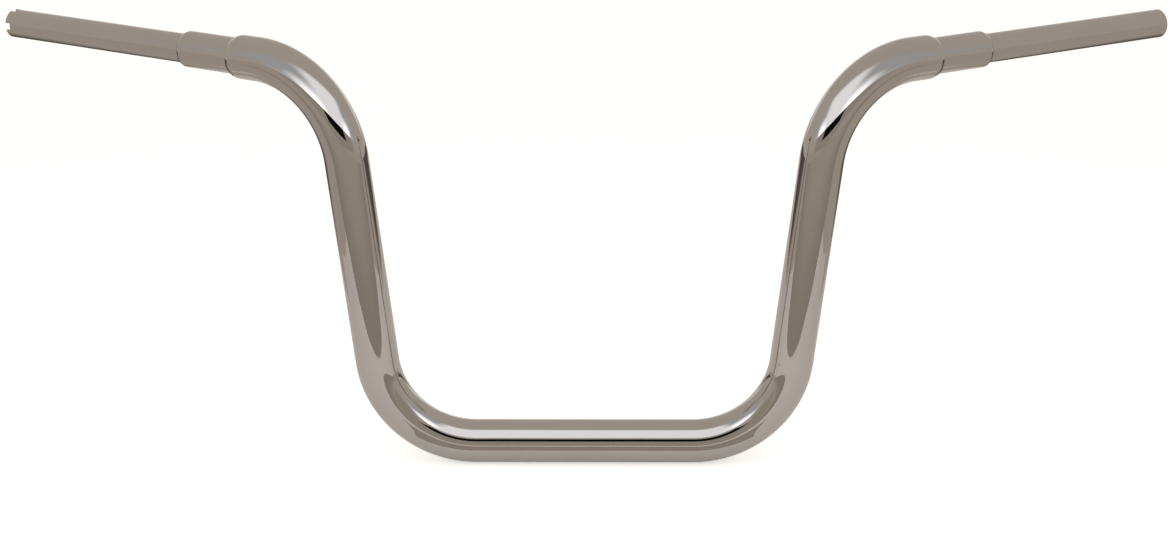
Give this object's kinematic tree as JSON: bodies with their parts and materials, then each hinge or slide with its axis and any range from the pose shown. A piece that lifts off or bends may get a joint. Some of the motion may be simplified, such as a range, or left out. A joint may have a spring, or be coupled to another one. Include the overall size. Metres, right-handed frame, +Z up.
{
  "type": "ape hanger handlebar",
  "caption": "Fat plated ape hanger handlebar that steps down through round-nosed collars to slim grip tubes, with threaded bungs hidden in the underside of its centre section.",
  "frame": {"origin": "middle of the centre section, on its axis", "axes": "+X along the centre section to the clutch side, +Y the way the grips sweep back, +Z up the uprights"},
  "size_m": [1.0475, 0.2134, 0.3747],
  "materials": {
    "plated": "bright plated, polished",
    "bare_steel": "machined and tapped, unplated"
  },
  "bodies": {
    "root": {"main_tube": "plated", "throttle_side_collar": "plated", "clutch_side_collar": "plated", "throttle_side_grip_tube": "plated", "clutch_side_grip_tube": "plated", "throttle_side_bung": "bare_steel", "clutch_side_bung": "bare_steel"}
  },
  "joints": []
}
